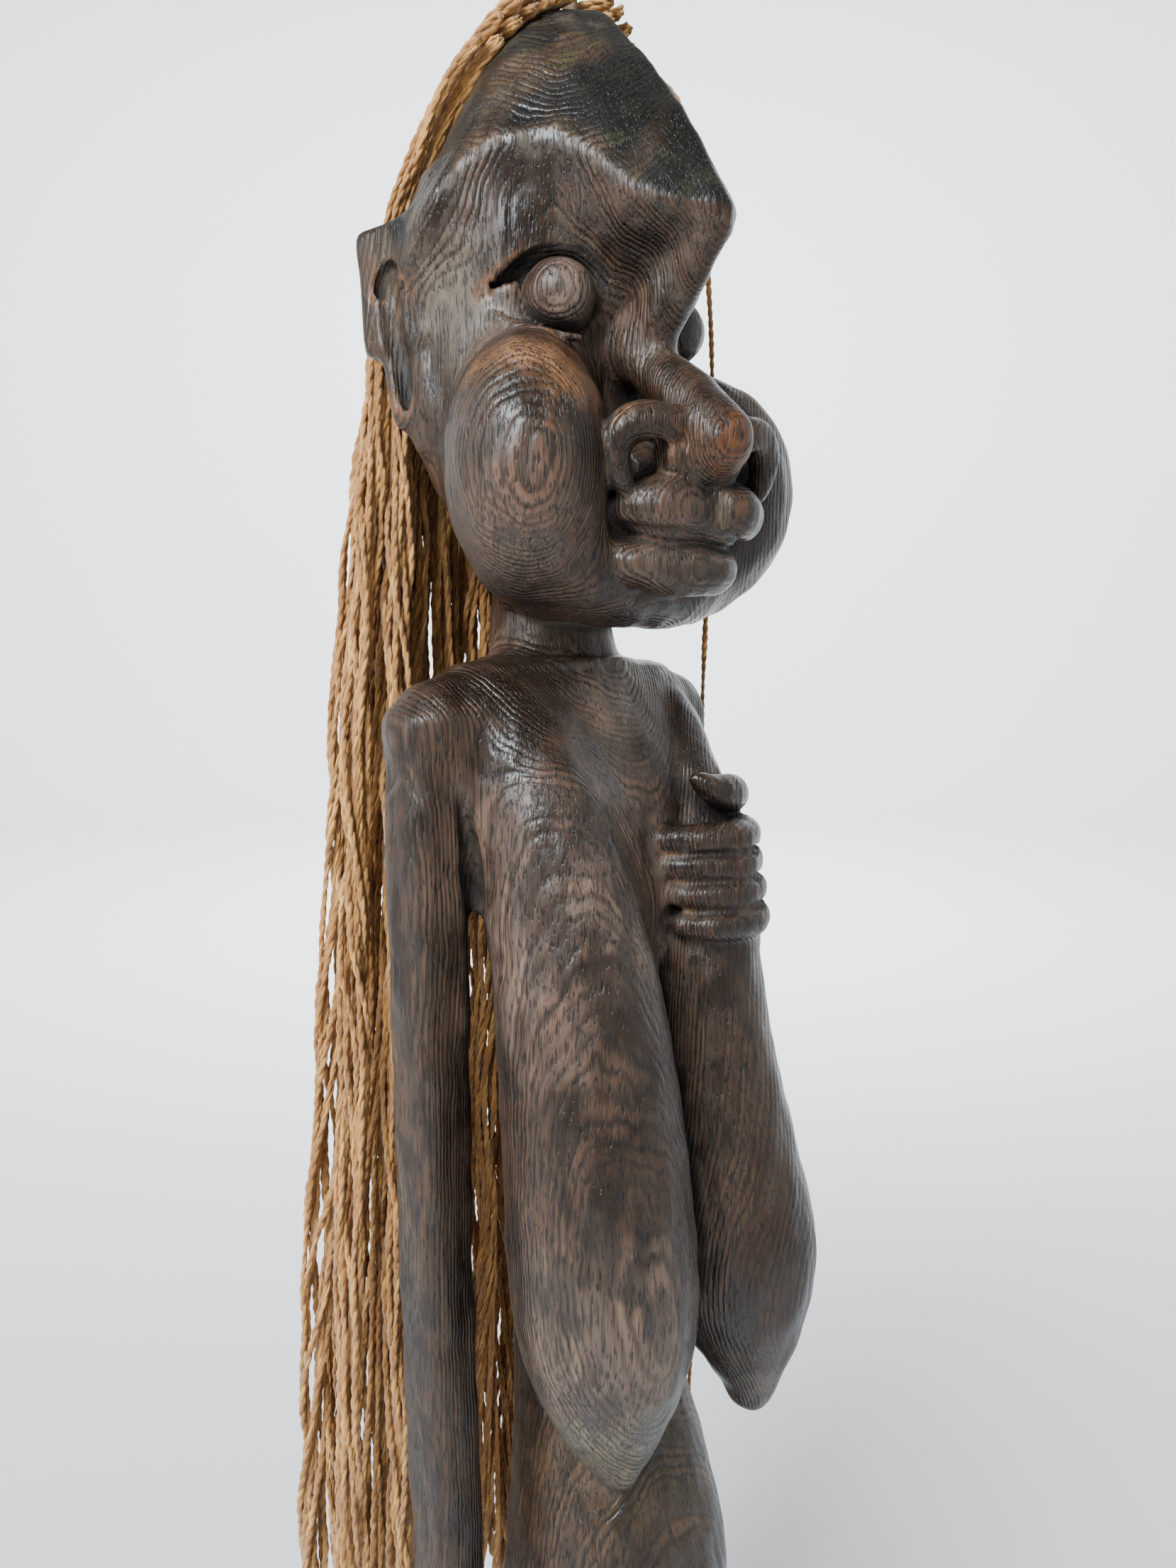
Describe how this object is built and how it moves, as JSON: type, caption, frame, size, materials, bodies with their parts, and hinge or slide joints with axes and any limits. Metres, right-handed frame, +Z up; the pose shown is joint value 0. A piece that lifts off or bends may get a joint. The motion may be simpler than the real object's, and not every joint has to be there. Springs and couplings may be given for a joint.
{
  "type": "carved ancestor figure",
  "caption": "Standing carved wooden female figure with a prowed brow and puffed cheeks, one hand at the breast, on its own plinth, with long loose twine hair.",
  "frame": {"origin": "centre of the plinth's underside", "axes": "+Z up from the plinth to the crown, the figure faces -Y, its left hand side is at +X"},
  "size_m": [0.2088, 0.2153, 1.013],
  "materials": {
    "carved_wood": "worn dark stain with a low sheen, brushed grain",
    "peg_wood": "dull cut dowel",
    "jute_twine": "twisted two-ply twine with loose fibres"
  },
  "bodies": {
    "root": {"carved_figure": "carved_wood", "crown_peg": "peg_wood", "stray_strand": "jute_twine", "hair_lock_01": "jute_twine", "hair_lock_02": "jute_twine", "hair_lock_03": "jute_twine", "hair_lock_04": "jute_twine", "hair_lock_05": "jute_twine", "hair_lock_06": "jute_twine", "hair_lock_07": "jute_twine", "hair_lock_08": "jute_twine", "hair_lock_09": "jute_twine", "hair_lock_10": "jute_twine", "hair_lock_11": "jute_twine", "hair_lock_12": "jute_twine", "hair_lock_13": "jute_twine", "hair_lock_14": "jute_twine", "hair_lock_15": "jute_twine", "hair_lock_16": "jute_twine", "hair_lock_17": "jute_twine", "hair_lock_18": "jute_twine", "hair_lock_19": "jute_twine", "hair_lock_20": "jute_twine", "hair_lock_21": "jute_twine", "hair_lock_22": "jute_twine", "hair_lock_23": "jute_twine", "hair_lock_24": "jute_twine"}
  },
  "joints": []
}
